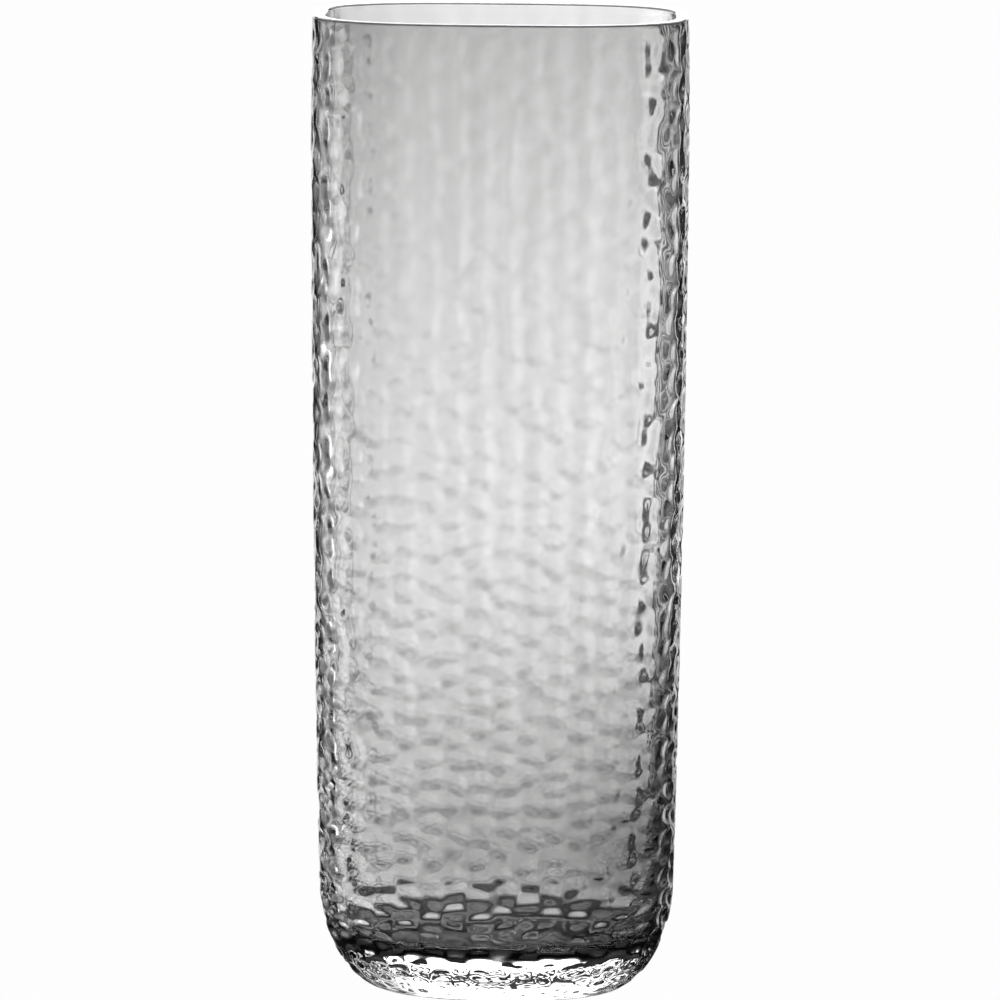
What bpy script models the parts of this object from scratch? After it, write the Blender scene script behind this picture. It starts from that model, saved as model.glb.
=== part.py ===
"""Tall oblong vase of thick glass, with a rounded foot and a ground rim.

The vase is one piece of glass. Its outer skin and its cavity are lofts through level
sections. A section of the wall is a superellipse, long along X, and the foot's section
is a plain ellipse, so the outline changes on the way down. The cavity is cut out of the
skin, and then both edges of the rim are eased.

Units are metres, with +Z up and +X along the wide front. The origin is the middle of
the foot, on the surface that the vase stands on.
"""

import math

import bmesh
import bpy

OBJECT_NAME = "oblong_glass_vase"

# Overall size.
HEIGHT = 0.380
WIDTH = 0.1426
DEPTH = 0.076

# Upright shape of the wall, as shares of the height or of the section's size.
WIDEST_LEVEL = 0.85
DRAFT = 0.050
DRAFT_CURVE = 1.85
RIM_DRAW_IN = 0.010

# Powers of the superellipse: 2 is an ellipse, and a higher power squares it up.
WALL_POWER = 3.0
FOOT_POWER = 2.0
POWER_RISE_CURVE = 0.7

# Rounding of the foot: how far it comes in, and how high up the wall it starts.
FOOT_INSET_X = 0.0276
FOOT_INSET_Y = 0.020
FOOT_RISE_X = 0.045
FOOT_RISE_Y = 0.032

# Glass around the cavity.
WALL = 0.005
BASE = 0.0225
FLOOR_ROUNDING = 0.008
RIM_EASING = 0.0006

# Mesh density.
SECTION_SIDES = 72
ROUNDING_STEPS = 9
WALL_STEPS = 9

CUT_CLEARANCE = 0.010
EDGE_ANGLE = math.radians(50)


def clear_scene():
    for old in list(bpy.data.objects):
        bpy.data.objects.remove(old, do_unlink=True)


def make_collection(name, rendered=True):
    collection = bpy.data.collections.new(name)
    collection.hide_render = not rendered
    bpy.context.scene.collection.children.link(collection)
    return collection


def glass_material():
    material = bpy.data.materials.new("smoke_glass")
    material.use_nodes = True
    shader = material.node_tree.nodes["Principled BSDF"]
    shader.inputs["Base Color"].default_value = (0.62, 0.63, 0.64, 1.0)
    shader.inputs["Metallic"].default_value = 0.0
    shader.inputs["Roughness"].default_value = 0.02
    shader.inputs["IOR"].default_value = 1.5
    shader.inputs["Transmission Weight"].default_value = 1.0
    return material


def wall_scale(level):
    """The section's size at this level, as a share of its size at the widest level."""
    widest = WIDEST_LEVEL * HEIGHT
    if level < widest:
        return 1 - DRAFT * ((widest - level) / widest) ** DRAFT_CURVE
    return 1 - RIM_DRAW_IN * ((level - widest) / (HEIGHT - widest)) ** 2


def rounding(above, rise):
    """How much of a quarter round's inset is left at this height above its start."""
    share = min(max(above / rise, 0), 1)
    return 1 - math.sqrt(1 - (1 - share) ** 2)


def outer_size(level):
    """Half the width and half the depth of the outer skin at this level."""
    scale = wall_scale(level)
    half_width = scale * WIDTH / 2 - FOOT_INSET_X * rounding(level, FOOT_RISE_X)
    half_depth = scale * DEPTH / 2 - FOOT_INSET_Y * rounding(level, FOOT_RISE_Y)
    return half_width, half_depth


def cavity_size(level):
    """The same for the cavity, whose wall rounds into its flat floor."""
    half_width, half_depth = outer_size(level)
    inset = WALL + FLOOR_ROUNDING * rounding(level - BASE, FLOOR_ROUNDING)
    return half_width - inset, half_depth - inset


def section_power(level):
    share = min(level / FOOT_RISE_X, 1) ** POWER_RISE_CURVE
    return FOOT_POWER + (WALL_POWER - FOOT_POWER) * share


def superellipse_point(half_width, half_depth, power, angle):
    across, along = math.cos(angle), math.sin(angle)
    x = half_width * math.copysign(abs(across) ** (2 / power), across)
    y = half_depth * math.copysign(abs(along) ** (2 / power), along)
    return x, y


def levels(start, rise, top):
    """Levels at equal angles up a quarter round, then at equal steps to the top."""
    quarter = math.pi / 2
    round_levels = [
        start + rise * (1 - math.cos(quarter * step / ROUNDING_STEPS))
        for step in range(ROUNDING_STEPS + 1)
    ]
    wall_height = top - start - rise
    wall_levels = [
        start + rise + wall_height * step / WALL_STEPS
        for step in range(1, WALL_STEPS + 1)
    ]
    return round_levels + wall_levels


def loft(name, sections, collection):
    """A closed body through (level, half width, half depth, power) sections."""
    shape = bmesh.new()
    rings = []
    for level, half_width, half_depth, power in sections:
        ring = []
        for side in range(SECTION_SIDES):
            angle = 2 * math.pi * side / SECTION_SIDES
            x, y = superellipse_point(half_width, half_depth, power, angle)
            ring.append(shape.verts.new((x, y, level)))
        rings.append(ring)
    for lower, upper in zip(rings, rings[1:]):
        for side in range(SECTION_SIDES):
            after = (side + 1) % SECTION_SIDES
            shape.faces.new((lower[side], lower[after], upper[after], upper[side]))
    shape.faces.new(reversed(rings[0]))
    shape.faces.new(rings[-1])
    mesh = bpy.data.meshes.new(name)
    shape.to_mesh(mesh)
    shape.free()
    body = bpy.data.objects.new(name, mesh)
    collection.objects.link(body)
    return body


def make_skin(collection):
    sections = [
        (level, *outer_size(level), section_power(level))
        for level in levels(0, FOOT_RISE_X, HEIGHT)
    ]
    return loft("vase_body", sections, collection)


def make_cavity(collection):
    """The cutter for the inside, which runs on straight up past the rim."""
    sections = [
        (level, *cavity_size(level), section_power(level))
        for level in levels(BASE, FLOOR_ROUNDING, HEIGHT)
    ]
    _, half_width, half_depth, power = sections[-1]
    sections.append((HEIGHT + CUT_CLEARANCE, half_width, half_depth, power))
    cavity = loft("cavity_cutter", sections, collection)
    cavity.hide_render = True
    cavity.display_type = "WIRE"
    return cavity


def cut(body, cutter):
    boolean = body.modifiers.new("cavity", "BOOLEAN")
    boolean.operation = "DIFFERENCE"
    boolean.solver = "EXACT"
    boolean.object = cutter


def ease_edges(body):
    """Takes the sharpness off the rim, the body's only edges this steep."""
    bevel = body.modifiers.new("rim_easing", "BEVEL")
    bevel.limit_method = "ANGLE"
    bevel.angle_limit = EDGE_ANGLE
    bevel.width = RIM_EASING
    bevel.segments = 2


def main():
    clear_scene()
    parts = make_collection(OBJECT_NAME)
    cutters = make_collection("cutters", rendered=False)
    body = make_skin(parts)
    body.data.materials.append(glass_material())
    body.data.shade_smooth()
    body.data.set_sharp_from_angle(angle=EDGE_ANGLE)
    cut(body, make_cavity(cutters))
    ease_edges(body)


main()
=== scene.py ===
"""Looks for the oblong hammered-glass vase, on a pale studio floor.

The vase is cased glass: a thick clear body, and a thin smoke-grey layer that lines its
cavity. Each layer is one closed mesh, and both ride the same CAD body.

The clear body's outer skin follows the CAD body: level superellipses that turn into an
ellipse at the foot. It is unrolled into a flat sheet, which is strewn with hammer marks in
uneven columns. Each mark is a shallow dish that ends where the next mark begins.

The light comes from the world alone, by its direction: upright lanes of light with dark
flags between them, as glass is lit in a studio. The camera sees plain paper instead.
"""

import math
import random

import bpy
import numpy as np
from mathutils import Matrix, Vector


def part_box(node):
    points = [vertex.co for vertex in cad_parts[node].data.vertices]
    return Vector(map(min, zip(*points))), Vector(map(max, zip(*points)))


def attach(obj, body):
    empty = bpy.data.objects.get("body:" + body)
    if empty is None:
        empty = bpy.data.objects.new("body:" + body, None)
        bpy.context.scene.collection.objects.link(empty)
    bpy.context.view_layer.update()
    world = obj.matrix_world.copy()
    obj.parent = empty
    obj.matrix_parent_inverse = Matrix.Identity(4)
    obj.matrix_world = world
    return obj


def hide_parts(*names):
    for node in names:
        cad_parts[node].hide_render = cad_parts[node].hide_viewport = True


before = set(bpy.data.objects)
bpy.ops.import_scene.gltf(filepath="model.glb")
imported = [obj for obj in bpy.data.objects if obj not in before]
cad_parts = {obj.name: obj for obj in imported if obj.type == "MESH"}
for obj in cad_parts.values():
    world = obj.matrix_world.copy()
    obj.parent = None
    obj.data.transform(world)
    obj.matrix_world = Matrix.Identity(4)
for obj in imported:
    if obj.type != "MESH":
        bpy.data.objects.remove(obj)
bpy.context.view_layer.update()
LOW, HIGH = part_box("vase_body")

# The body, as the CAD has it.
HEIGHT = HIGH.z - LOW.z
WIDTH = HIGH.x - LOW.x
DEPTH = HIGH.y - LOW.y
WIDEST_LEVEL = 0.85
DRAFT = 0.050
DRAFT_CURVE = 1.85
RIM_DRAW_IN = 0.010
WALL_POWER = 3.0
FOOT_POWER = 2.0
POWER_RISE_CURVE = 0.7
FOOT_INSET_X = 0.0276
FOOT_INSET_Y = 0.020
FOOT_RISE_X = 0.045
FOOT_RISE_Y = 0.032
WALL = 0.005
BASE = 0.0225
FLOOR_ROUNDING = 0.008
RIM_EASING = 0.0007

# How finely the skin is measured, round a section and up the wall.
SKIN_SAMPLES = 1441
FOOT_SAMPLES = SKIN_SAMPLES // 4
GIRTH_SKIP = 8
NORMAL_STEP = 1e-4

# The hammer marks. They are crisp and deep low on the wall, and softer higher up.
MARK_SEED = 7
MARK_PITCH = 0.0100
# How tall a mark is for its width, at shares of the vase's height.
MARK_STRETCH = ((0.10, 0.80), (0.55, 1.08))
FIRST_MARK = -1.25
MARK_DRIFT = 0.24
MARK_SLIP = 0.30
MARK_TURN = 0.7
MARK_SQUEEZE = 0.18
MARK_RANK = 0.03
MARK_REACH = 2.6
DISH_EDGE = 0.30
DISH_SOFTENING = 0.75
DEPTH_FOOT = 0.00102
DEPTH_WALL = 0.00062
CRISP_FOOT = 60.0
CRISP_WALL = 34.0
# The shares of the height by which the marks have their depth and crispness of the wall.
SETTLE_LEVEL = 0.42
CRISP_LEVEL = 0.16
# They fade out over this much of the wall below the rim and above the flat of the foot.
RIM_FADE = 0.006
FOOT_FADE = 0.016
# The marks are deeper round the narrow ends and gentler on the back.
END_GAIN = 1.0
BACK_FADE = 0.65
CELLS_PER_MARK = 7.4

# The rim's eased edges, in shares of a quarter turn, and the inner skin.
EASING_TURNS = (0.35, 0.70, 1.0)
CAVITY_ROWS = 26
FLOOR_ROWS = 8
RIPPLE = 0.00003
RIPPLE_FADE = 0.020
# Each wave's strength, waves round the vase, climb in radians a metre, and start.
RIPPLE_WAVES = ((1.0, 3, 21, 0), (0.7, 7, -90, 1), (0.5, 11, 150, 2))

# The smoke casing. Its thickness at heights up the wall, both in metres: thinnest in the
# middle, thicker at the rim and low down, and a pad on the floor.
CASING_WALL = (
    (0.030, 0.00104), (0.040, 0.00108), (0.052, 0.00160), (0.063, 0.00136), (0.080, 0.00110),
    (0.105, 0.00094), (0.140, 0.00067), (0.180, 0.00058), (0.220, 0.00060), (0.280, 0.00070),
    (0.330, 0.00090), (0.380, 0.00118),
)
CASING_FLOOR = 0.0030
# How much thicker the casing is at the right end than in the middle, as a share, by height. The
# thicker smoke glass darkens the lower right end of the vase, as painted shade.
SHADE_LEAN = (
    (0.030, 0.60), (0.060, 0.60), (0.085, 0.46), (0.105, 0.32), (0.148, 0.17),
    (0.180, 0.04), (0.220, -0.05), (0.280, -0.08), (0.380, -0.11),
)
# And how much faster still it thickens near that end, for more painted shade there.
END_SHADE_LEAN = 0.3
END_SHADE_CURVE = 4
CASING_ROWS = 40
CASING_COLUMNS = 360
# The casing's inner face stands this far clear of the glass.
CASING_GAP = 0.00005


# ---------------------------------------------------------------- the smooth body

def rounding(above, rise):
    """The foot's quarter-ellipse rounding: 1 at the foot, 0 where it meets the wall."""
    share = np.clip(above / rise, 0, 1)
    return 1 - np.sqrt(1 - (1 - share) ** 2)


def half_sizes(level):
    """Half the width and half the depth of the outer skin at these levels."""
    widest = WIDEST_LEVEL * HEIGHT
    below = np.clip((widest - level) / widest, 0, 1)
    above = np.clip((level - widest) / (HEIGHT - widest), 0, 1)
    scale = 1 - DRAFT * below ** DRAFT_CURVE - RIM_DRAW_IN * above ** 2
    half_width = scale * WIDTH / 2 - FOOT_INSET_X * rounding(level, FOOT_RISE_X)
    half_depth = scale * DEPTH / 2 - FOOT_INSET_Y * rounding(level, FOOT_RISE_Y)
    return half_width, half_depth


def section_power(level):
    """The superellipse's power: a plain ellipse at the foot, squarer on the wall."""
    share = np.clip(level / FOOT_RISE_X, 0, 1) ** POWER_RISE_CURVE
    return FOOT_POWER + (WALL_POWER - FOOT_POWER) * share


def section_point(angle, level, inset=0.0):
    """Points of the level sections, at these angles and drawn in by this inset."""
    half_width, half_depth = half_sizes(level)
    across, along = np.cos(angle), np.sin(angle)
    share = 2 / section_power(level)
    x = (half_width - inset) * np.sign(across) * np.abs(across) ** share
    y = (half_depth - inset) * np.sign(along) * np.abs(along) ** share
    return np.stack(np.broadcast_arrays(x, y, level), axis=-1)


def running_length(points):
    steps = np.linalg.norm(np.diff(points, axis=0), axis=1)
    return np.concatenate([[0], np.cumsum(steps)])


class Sheet:
    """The outer skin unrolled: `along` runs round the vase, in metres of the wall's
    girth, and `up` runs from the foot's edge to the rim. Marks that are round on the
    sheet are stretched by MARK_STRETCH on the vase. Near the foot the sheet is enlarged
    as the girth shrinks, so that they keep their shape."""

    def __init__(self):
        angles = np.linspace(0, 2 * math.pi, SKIN_SAMPLES)
        self.angles = angles
        self.girth = running_length(section_point(angles, HEIGHT / 2))[-1]
        top = HEIGHT - RIM_EASING
        turn = np.linspace(0, math.pi / 2, FOOT_SAMPLES)
        foot = FOOT_RISE_X * (1 - np.cos(turn))
        wall = np.linspace(FOOT_RISE_X, top, SKIN_SAMPLES)[1:]
        self.levels = np.concatenate([foot, wall])
        front = section_point(np.full_like(self.levels, -math.pi / 2), self.levels)
        end = section_point(np.zeros_like(self.levels), self.levels)
        climb = (running_length(front) + running_length(end)) / 2
        coarse = angles[::GIRTH_SKIP]
        girths = [running_length(section_point(coarse, level))[-1] for level in self.levels]
        stretch = np.interp(self.levels / HEIGHT, *zip(*MARK_STRETCH))
        rate = self.girth / np.array(girths) / stretch
        steps = np.diff(climb) * (rate[1:] + rate[:-1]) / 2
        self.ups = np.concatenate([[0], np.cumsum(steps)])
        self.height = self.ups[-1]

    def level(self, up):
        return float(np.interp(up, self.ups, self.levels))

    def angles_at(self, along, level):
        """The section angles of these places, spaced evenly round the section."""
        lengths = running_length(section_point(self.angles, level))
        share = np.mod(along, self.girth) / self.girth
        return np.interp(share * lengths[-1], lengths, self.angles)

    def point(self, along, up):
        level = self.level(up)
        return section_point(self.angles_at(along, level), level)

    def normal(self, along, up):
        """The skin's outward direction along one row, from a small step each way."""
        step = NORMAL_STEP
        low, high = max(up - step, 0), min(up + step, self.height)
        round_step = self.point(along + step, up) - self.point(along - step, up)
        climb_step = self.point(along, high) - self.point(along, low)
        out = np.cross(round_step, climb_step)
        return out / np.linalg.norm(out, axis=-1, keepdims=True)


# ---------------------------------------------------------------- the hammer marks

def strew_marks(sheet):
    """Mark centres on the sheet, in columns that climb the wall with some disorder, each
    with its turn, its squeeze and its rank: a mark of low rank is deeper than its
    neighbours."""
    draw = random.Random(MARK_SEED)
    marks = []
    count = 2 * round(sheet.girth / MARK_PITCH / 2)
    for column in range(count):
        up = (column % 2 / 2 + FIRST_MARK) * MARK_PITCH
        while up < sheet.height + MARK_PITCH:
            along = (column + draw.uniform(-1, 1) * MARK_DRIFT) * sheet.girth / count
            rise = draw.uniform(-1, 1) * MARK_SLIP * MARK_PITCH
            turn = draw.uniform(-1, 1) * MARK_TURN
            squeeze = 1 + draw.uniform(-1, 1) * MARK_SQUEEZE
            rank = draw.uniform(-1, 1) * MARK_RANK
            marks.append((along % sheet.girth, up + rise, turn, squeeze, rank))
            up += MARK_PITCH
    return np.array(marks)


def crispness(level):
    """How sharp the ridges between the marks are at this height."""
    settled = soft_step(level / (CRISP_LEVEL * HEIGHT))
    return CRISP_FOOT + (CRISP_WALL - CRISP_FOOT) * settled


def dish_depth(along, up, marks, sheet):
    """How deep the marks reach at these places of one row, from 0 on a ridge to about 1.

    Each mark is a dish around its centre, and the deepest dish at a place wins, with a
    soft change-over whose width follows the crispness."""
    pitch = MARK_PITCH
    near = marks[np.abs(marks[:, 1] - up) < MARK_REACH * pitch]
    across = along[:, None] - near[None, :, 0]
    across -= sheet.girth * np.round(across / sheet.girth)
    rise = up - near[None, :, 1]
    turn, squeeze, rank = near[None, :, 2], near[None, :, 3], near[None, :, 4]
    u = (across * np.cos(turn) + rise * np.sin(turn)) / pitch * squeeze
    v = (rise * np.cos(turn) - across * np.sin(turn)) / pitch / squeeze
    away = u * u + v * v + rank
    crisp = crispness(sheet.level(up))
    nearest = away.min(axis=1)
    spread = np.exp(-crisp * (away - nearest[:, None])).sum(axis=1)
    blended = nearest - np.log(spread) / crisp
    edge = DISH_EDGE - DISH_SOFTENING / crisp
    return 1 - blended / edge


def relief(along, up, marks, sheet):
    """How far the skin lies inside the smooth body, in metres, along one row."""
    level = sheet.level(up)
    settled = soft_step(level / (SETTLE_LEVEL * HEIGHT))
    depth = DEPTH_FOOT + (DEPTH_WALL - DEPTH_FOOT) * settled
    fade = soft_step((HEIGHT - level) / RIM_FADE) * soft_step(level / FOOT_FADE)
    return depth * fade * np.maximum(dish_depth(along, up, marks, sheet), 0)


class Body:
    """Collects the mesh: places, and faces that turn outwards."""

    def __init__(self):
        self.places = []
        self.faces = []

    def add(self, places):
        first = len(self.places)
        self.places.extend(tuple(map(float, place)) for place in places)
        return list(range(first, len(self.places)))

    def bridge(self, lower, upper):
        """Quads between two loops of one count, the second above the first outside."""
        for i in range(len(lower)):
            j = (i + 1) % len(lower)
            self.faces.append((lower[i], lower[j], upper[j], upper[i]))

    def close(self, loop, place):
        """A fan of triangles from a loop to a point, facing as the loop runs."""
        centre = self.add([place])[0]
        for i in range(len(loop)):
            self.faces.append((loop[i], loop[(i + 1) % len(loop)], centre))

    def finish(self, name):
        """The scene's object of this name, with this mesh."""
        mesh = bpy.data.meshes.new(name)
        mesh.from_pydata(self.places, [], self.faces)
        mesh.validate()
        mesh.shade_smooth()
        return new_object(name, mesh)


def new_object(name, data):
    thing = bpy.data.objects.new(name, data)
    bpy.context.scene.collection.objects.link(thing)
    return thing


def hammered_skin(body, sheet):
    """Adds the outer skin in rows from the foot to the rim, and returns the first row,
    the last row and the columns' places along the sheet."""
    marks = strew_marks(sheet)
    columns = round(sheet.girth / MARK_PITCH * CELLS_PER_MARK)
    along = np.arange(columns) * sheet.girth / columns
    ups = [0.0]
    while ups[-1] < sheet.height:
        ups.append(ups[-1] + MARK_PITCH / CELLS_PER_MARK)
    ups = np.array(ups) * sheet.height / ups[-1]
    rows = []
    for up in ups:
        outward = sheet.normal(along, up)
        gain = 1 + END_GAIN * outward[:, 0] ** 2 - BACK_FADE * np.maximum(outward[:, 1], 0)
        depth = relief(along, up, marks, sheet) * gain
        inward = depth[:, None] * outward
        rows.append(body.add(sheet.point(along, up) - inward))
    for lower, upper in zip(rows, rows[1:]):
        body.bridge(lower, upper)
    return rows[0], rows[-1], along


def soft_step(share):
    share = np.clip(share, 0, 1)
    return share * share * (3 - 2 * share)


# ---------------------------------------------------------------- rim, cavity and foot

def ripple(angle, level):
    """A faint unevenness of the inner skin, in metres."""
    waves = [
        strength * np.sin(count * angle + climb * level + start)
        for strength, count, climb, start in RIPPLE_WAVES
    ]
    return RIPPLE * sum(waves)


def inner_profile():
    """(level, inset, rippled) from the rim's outer edge over the rim and down to the floor."""
    quarter = math.pi / 2
    profile = []
    for turn in EASING_TURNS:
        angle = quarter * turn
        level = HEIGHT - RIM_EASING * (1 - math.sin(angle))
        profile.append((level, RIM_EASING * (1 - math.cos(angle)), 0))
    for turn in (0, *EASING_TURNS):
        angle = quarter * turn
        level = HEIGHT - RIM_EASING * (1 - math.cos(angle))
        profile.append((level, WALL - RIM_EASING * (1 - math.sin(angle)), 0))
    top, low = HEIGHT - RIM_EASING, BASE + FLOOR_ROUNDING
    for row in range(1, CAVITY_ROWS + 1):
        level = top + (low - top) * row / CAVITY_ROWS
        profile.append((level, WALL, 1))
    for row in range(1, FLOOR_ROWS + 1):
        angle = quarter * row / FLOOR_ROWS
        level = BASE + FLOOR_ROUNDING * (1 - math.sin(angle))
        inset = WALL + FLOOR_ROUNDING * (1 - math.cos(angle))
        profile.append((level, inset, 1 - row / FLOOR_ROWS))
    return profile


def finish_inside(body, sheet, rim_loop, along):
    """Adds the rim and the cavity, in columns that go on from the rim loop's."""
    ring = rim_loop
    for level, inset, rippled in inner_profile():
        angles = sheet.angles_at(along, level)
        rippled *= soft_step((HEIGHT - level) / RIPPLE_FADE)
        insets = inset + ripple(angles, level) * rippled
        below = body.add(section_point(angles, np.full_like(angles, level), insets))
        body.bridge(ring, below)
        ring = below
    body.close(ring, (0, 0, BASE))


def casing_thickness_and_shade(level, across):
    """The casing's thickness at this height, at places this far across from -1 to 1. Low at the
    right end it is thickened to paint shade there.
    """
    thickness = np.interp(level, *zip(*CASING_WALL))
    shade_lean = np.interp(level, *zip(*SHADE_LEAN))
    end = END_SHADE_LEAN * np.maximum(across, 0) ** END_SHADE_CURVE
    return thickness * (1 + shade_lean * (across + end))


def casing_rings(grow, angles):
    """(level, inset) of each row down one face of the casing: the face in the glass where
    grow is true, and the face just inside the cavity where it is false."""
    across = np.cos(angles)
    top, low = HEIGHT - RIM_EASING - CASING_GAP, BASE + FLOOR_ROUNDING
    rings = []
    for row in range(CASING_ROWS + 1):
        level = top + (low - top) * row / CASING_ROWS
        reach = casing_thickness_and_shade(level, across) if grow else -CASING_GAP
        rings.append((level, WALL - reach))
    for row in range(1, FLOOR_ROWS + 1):
        angle = math.pi / 2 * row / FLOOR_ROWS
        share = math.sin(angle) ** 2
        thickness = casing_thickness_and_shade(low, across) * (1 - share) + CASING_FLOOR * share
        radius = FLOOR_ROUNDING + (thickness if grow else -CASING_GAP)
        inset = WALL + FLOOR_ROUNDING - radius * math.cos(angle)
        rings.append((low - radius * math.sin(angle), inset))
    return rings


def build_casing():
    """The smoke layer, as a closed shell whose inner face stands just clear of the glass,
    so that the two never share a surface."""
    body = Body()
    angles = np.linspace(0, 2 * math.pi, CASING_COLUMNS + 1)[:-1]
    faces = []
    for grow in (True, False):
        loops = []
        for level, inset in casing_rings(grow, angles):
            places = section_point(angles, np.full_like(angles, level), inset)
            loops.append(body.add(places))
        faces.append(loops)
    outer, inner = faces
    for upper, lower in zip(outer, outer[1:]):
        body.bridge(lower, upper)
    for upper, lower in zip(inner, inner[1:]):
        body.bridge(upper, lower)
    body.bridge(outer[0], inner[0])
    body.close(outer[-1][::-1], (0, 0, BASE - CASING_FLOOR))
    body.close(inner[-1], (0, 0, BASE + CASING_GAP))
    return body.finish("smoke_casing")


def build_vase():
    sheet = Sheet()
    body = Body()
    foot_loop, rim_loop, along = hammered_skin(body, sheet)
    finish_inside(body, sheet, rim_loop, along)
    body.close(foot_loop[::-1], (0, 0, 0))
    return body.finish("hammered_vase")


# ---------------------------------------------------------------- materials

SMOKE_GREY = (0.20, 0.20, 0.195, 1.0)
# Each glass's IOR, absorption per metre, the grain of its streaks per metre along X, Y and
# Z, and the streaks' darkest value. The casing bends no light of its own, because it's
# fused into the clear glass.
CLEAR_GLASS = (1.5, 3.0, (55.0, 55.0, 14.0), 0.975)
SMOKE_GLASS = (1.0, 470.0, (90.0, 90.0, 9.0), 0.955)
STREAK_DETAIL = 3.0
STREAK_LOW = 0.30
STREAK_HIGH = 0.62


def new_material(name):
    material = bpy.data.materials.new(name)
    material.use_nodes = True
    nodes = material.node_tree.nodes
    nodes.clear()
    return material, nodes, material.node_tree.links


def streaks(nodes, links, grain, darkest):
    """A grey between this value and white that drifts in faint streaks of this grain."""
    place = nodes.new("ShaderNodeTexCoord")
    scaled = nodes.new("ShaderNodeMapping")
    scaled.inputs["Scale"].default_value = grain
    noise = nodes.new("ShaderNodeTexNoise")
    noise.inputs["Scale"].default_value = 1.0
    noise.inputs["Detail"].default_value = STREAK_DETAIL
    tone = nodes.new("ShaderNodeMapRange")
    tone.inputs["From Min"].default_value = STREAK_LOW
    tone.inputs["From Max"].default_value = STREAK_HIGH
    tone.inputs["To Min"].default_value = darkest
    links.new(place.outputs["Object"], scaled.inputs["Vector"])
    links.new(scaled.outputs["Vector"], noise.inputs["Vector"])
    links.new(noise.outputs["Fac"], tone.inputs["Value"])
    return tone.outputs["Result"]


def glass_material(name, ior, density, grain, darkest):
    """Glass with a neutral tint that deepens with the glass's thickness, and with the
    faint streaks that blown glass keeps."""
    material, nodes, links = new_material(name)
    out = nodes.new("ShaderNodeOutputMaterial")
    glass = nodes.new("ShaderNodeBsdfPrincipled")
    links.new(streaks(nodes, links, grain, darkest), glass.inputs["Base Color"])
    glass.inputs["Metallic"].default_value = 0.0
    glass.inputs["Roughness"].default_value = 0.0
    glass.inputs["IOR"].default_value = ior
    glass.inputs["Transmission Weight"].default_value = 1.0
    tint = nodes.new("ShaderNodeVolumeAbsorption")
    tint.inputs["Color"].default_value = SMOKE_GREY
    tint.inputs["Density"].default_value = density
    links.new(glass.outputs["BSDF"], out.inputs["Surface"])
    links.new(tint.outputs["Volume"], out.inputs["Volume"])
    return material


def floor_material():
    material, nodes, links = new_material("pale_floor")
    out = nodes.new("ShaderNodeOutputMaterial")
    glow = nodes.new("ShaderNodeEmission")
    glow.inputs["Color"].default_value = (1.0, 1.0, 1.0, 1.0)
    glow.inputs["Strength"].default_value = PAPER_WHITE
    links.new(glow.outputs["Emission"], out.inputs["Surface"])
    return material


# ---------------------------------------------------------------- stage

CAMERA_DISTANCE = 5.5 * HEIGHT
CAMERA_HEIGHT = 1.648 * HEIGHT
CAMERA_AIM = 0.510 * HEIGHT
CAMERA_AIM_SIDE = 0.0006
CAMERA_SIDE = math.radians(2.4)
CAMERA_ROLL = math.radians(0.31)
CAMERA_LENS = 201.2
CAMERA_REACH = 100
SENSOR = 36.0
FLOOR_SIZE = 40.0
FLOOR_DROP = 0.0002
PAPER_WHITE = 0.985
GLASS_BOUNCES = 32
GLOSSY_BOUNCES = 16


def add_floor():
    """The pale floor. Only the camera sees it, because the world lights the glass."""
    mesh = bpy.data.meshes.new("studio_floor")
    half = FLOOR_SIZE / 2
    corners = [(-half, -half, 0), (half, -half, 0), (half, half, 0), (-half, half, 0)]
    mesh.from_pydata(corners, [], [(0, 1, 2, 3)])
    mesh.materials.append(floor_material())
    floor = new_object("studio_floor", mesh)
    floor.location.z = -FLOOR_DROP
    floor.visible_transmission = False
    floor.visible_glossy = False
    floor.visible_diffuse = False


def add_camera():
    data = bpy.data.cameras.new("camera")
    data.sensor_width = SENSOR
    data.lens = CAMERA_LENS
    data.clip_end = CAMERA_REACH
    camera = new_object("camera", data)
    place = Vector((
        CAMERA_DISTANCE * math.sin(CAMERA_SIDE),
        -CAMERA_DISTANCE * math.cos(CAMERA_SIDE),
        CAMERA_HEIGHT,
    ))
    aim = Vector((CAMERA_AIM_SIDE, 0, CAMERA_AIM))
    turn = (aim - place).to_track_quat("-Z", "Y").to_matrix().to_4x4()
    camera.matrix_world = Matrix.Translation(place) @ turn @ Matrix.Rotation(CAMERA_ROLL, 4, "Z")
    bpy.context.scene.camera = camera


# Lanes of light with dark flags between them, in degrees round the vase: azimuth, half
# width, softness and strength. Azimuth 0 is straight behind the vase, 90 is to its right.
# The low lanes shine from a little below the vase's own level, the high ones from above
# it. The side lane is a soft box on the left that stops above the table.
LOW_LANES = (
    (-2.0, 11.5, 4.0, 1.26), (4, 3, 7, 0.42), (-24, 9, 2, 1.25), (-88, 34, 8, 1.0),
    (31, 9, 3, 1.6), (85, 30, 10, 0.30), (140, 30, 14, 0.6),
    (-165, 25, 10, 0.9),
)
SIDE_LANES = ((-91, 26, 5, 2.7),)
HIGH_LANES = ((-14, 30, 6, 2.3), (-90, 34, 8, 2.4), (60, 50, 12, 1.2), (180, 55, 15, 1.2))
FLAG_GLOW = 0.03
# What lies above and below the lanes: the table, near and straight down, a dark bar across
# the high lanes, and the ceiling.
TABLE_SHADE = 0.04
TABLE_GLOW = 0.4
BAR_GLOW = 0.04
CEILING_GLOW = 0.8
# The elevations, in degrees, over which one gives way to the next.
TABLE_SWEEP = (-32, -11.8)
TABLE_BELOW = (-46, -54)
SIDE_EDGE = (-17, -11)
HIGH_EDGE = (-6, 6)
BAR_FOOT = (11, 13)
BAR_TOP = (22, 19)
CEILING_EDGE = (42, 55)


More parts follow.
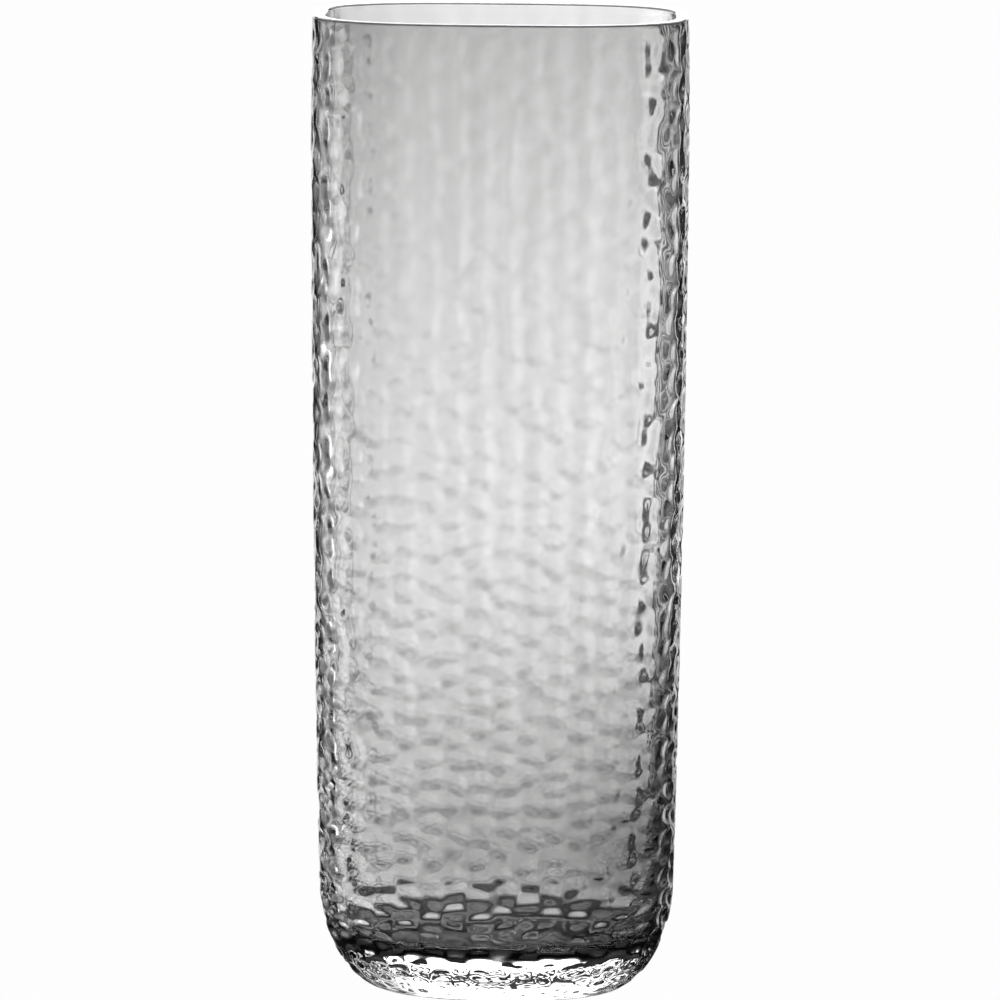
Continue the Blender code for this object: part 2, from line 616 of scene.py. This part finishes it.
def soft_edge(nodes, links, value, low, high, shape="SMOOTHSTEP"):
    """A node that climbs from 0 to 1 between these values."""
    step = nodes.new("ShaderNodeMapRange")
    step.interpolation_type = shape
    step.inputs["From Min"].default_value = low
    step.inputs["From Max"].default_value = high
    links.new(value, step.inputs["Value"])
    return step.outputs["Result"]


def math_node(nodes, links, operation, first, second=None):
    node = nodes.new("ShaderNodeMath")
    node.operation = operation
    for socket, value in zip(node.inputs, (first, second)):
        if isinstance(value, (int, float)):
            socket.default_value = value
        elif value is not None:
            links.new(value, socket)
    return node.outputs[0]


def blend(nodes, links, share, first, second):
    """The first value where the share is 0, and the second where it is 1."""
    mix = nodes.new("ShaderNodeMix")
    links.new(share, mix.inputs["Factor"])
    for socket, value in zip((mix.inputs["A"], mix.inputs["B"]), (first, second)):
        if isinstance(value, (int, float)):
            socket.default_value = value
        else:
            links.new(value, socket)
    return mix.outputs["Result"]


def lanes_node(nodes, links, x, y, lanes):
    """The strength of these lanes in the direction (x, y) from the vase."""
    turned = math_node(nodes, links, "ARCTAN2", x, y)
    azimuth = math_node(nodes, links, "MULTIPLY", turned, 180 / math.pi)
    total = None
    for middle, half, soft, strength in lanes:
        off = math_node(nodes, links, "SUBTRACT", azimuth, middle)
        wrapped = math_node(nodes, links, "WRAP", off, 180)
        wrapped.node.inputs[2].default_value = -180
        away = math_node(nodes, links, "ABSOLUTE", wrapped)
        lane = soft_edge(nodes, links, away, half + soft, half - soft)
        lane = math_node(nodes, links, "MULTIPLY", lane, strength - FLAG_GLOW)
        total = lane if total is None else math_node(nodes, links, "ADD", total, lane)
    return math_node(nodes, links, "ADD", total, FLAG_GLOW)


def world_strength(nodes, links):
    """How strongly the world shines in each direction, from the table to the ceiling."""
    direction = nodes.new("ShaderNodeTexCoord")
    parts = nodes.new("ShaderNodeSeparateXYZ")
    links.new(direction.outputs["Generated"], parts.inputs[0])
    x, y = parts.outputs["X"], parts.outputs["Y"]
    turned = math_node(nodes, links, "ARCSINE", parts.outputs["Z"])
    height = math_node(nodes, links, "MULTIPLY", turned, 180 / math.pi)

    def edge(ends, shape="SMOOTHSTEP"):
        return soft_edge(nodes, links, height, *ends, shape)

    low = lanes_node(nodes, links, x, y, LOW_LANES)
    side = lanes_node(nodes, links, x, y, SIDE_LANES)
    side = math_node(nodes, links, "MULTIPLY", side, edge(SIDE_EDGE))
    low = math_node(nodes, links, "ADD", low, side)
    high = lanes_node(nodes, links, x, y, HIGH_LANES)
    bar = math_node(nodes, links, "MULTIPLY", edge(BAR_FOOT), edge(BAR_TOP))
    total = blend(nodes, links, edge(TABLE_SWEEP, "LINEAR"), TABLE_SHADE, low)
    total = blend(nodes, links, edge(TABLE_BELOW), total, TABLE_GLOW)
    total = blend(nodes, links, edge(HIGH_EDGE), total, high)
    total = blend(nodes, links, bar, total, BAR_GLOW)
    return blend(nodes, links, edge(CEILING_EDGE), total, CEILING_GLOW)


def add_world():
    """The studio's light. The camera itself sees plain paper in every direction."""
    world = bpy.data.worlds.new("studio")
    bpy.context.scene.world = world
    world.use_nodes = True
    nodes, links = world.node_tree.nodes, world.node_tree.links
    nodes.clear()
    studio = nodes.new("ShaderNodeBackground")
    studio.inputs["Color"].default_value = (1, 1, 1, 1)
    links.new(world_strength(nodes, links), studio.inputs["Strength"])
    paper = nodes.new("ShaderNodeBackground")
    paper.inputs["Color"].default_value = (1, 1, 1, 1)
    paper.inputs["Strength"].default_value = PAPER_WHITE
    path = nodes.new("ShaderNodeLightPath")
    choice = nodes.new("ShaderNodeMixShader")
    links.new(path.outputs["Is Camera Ray"], choice.inputs["Fac"])
    links.new(studio.outputs["Background"], choice.inputs[1])
    links.new(paper.outputs["Background"], choice.inputs[2])
    out = nodes.new("ShaderNodeOutputWorld")
    links.new(choice.outputs["Shader"], out.inputs["Surface"])


def settings():
    """Plain colours, and enough bounces for the light to find its way out of the glass."""
    scene = bpy.context.scene
    scene.view_settings.view_transform = "Standard"
    scene.cycles.max_bounces = GLASS_BOUNCES
    scene.cycles.transmission_bounces = GLASS_BOUNCES
    scene.cycles.glossy_bounces = GLOSSY_BOUNCES


add_camera()
vase = build_vase()
vase.data.materials.append(glass_material("clear_glass", *CLEAR_GLASS))
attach(vase, "root")
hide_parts("vase_body")
casing = build_casing()
casing.data.materials.append(glass_material("smoke_casing", *SMOKE_GLASS))
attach(casing, "root")
add_floor()
add_world()
settings()
